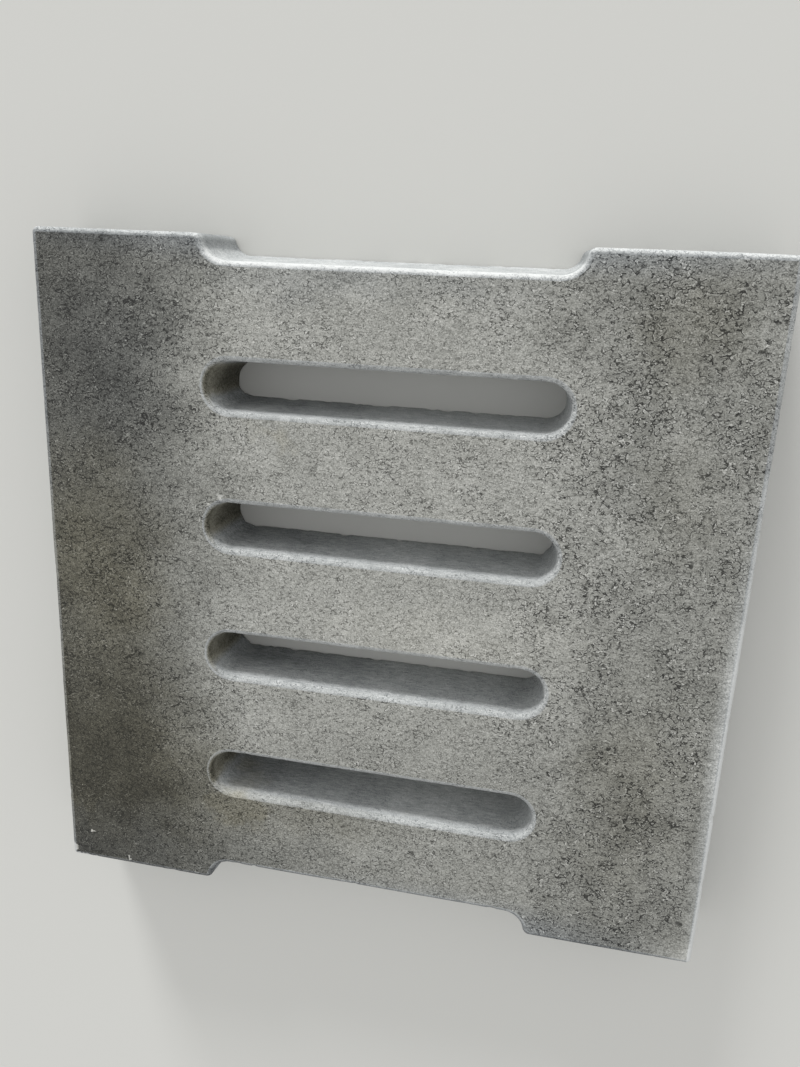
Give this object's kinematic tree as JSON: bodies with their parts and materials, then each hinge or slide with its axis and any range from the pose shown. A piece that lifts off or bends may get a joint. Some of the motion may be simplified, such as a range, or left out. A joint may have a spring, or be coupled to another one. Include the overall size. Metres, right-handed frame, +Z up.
{
  "type": "slotted concrete cover slab",
  "caption": "Square precast concrete slab with long round-ended slots through it and a shallow notch in two opposite edges, lying flat on its struck back.",
  "frame": {"origin": "middle of the flat underside, which is the struck back of the casting", "axes": "+X along the slots, +Y across the slots towards one notched edge, +Z up out of the moulded face"},
  "size_m": [1, 1, 0.11],
  "materials": {
    "concrete": "matt grey cast concrete, pitted and stained"
  },
  "bodies": {
    "root": {"slab": "concrete"}
  },
  "joints": []
}
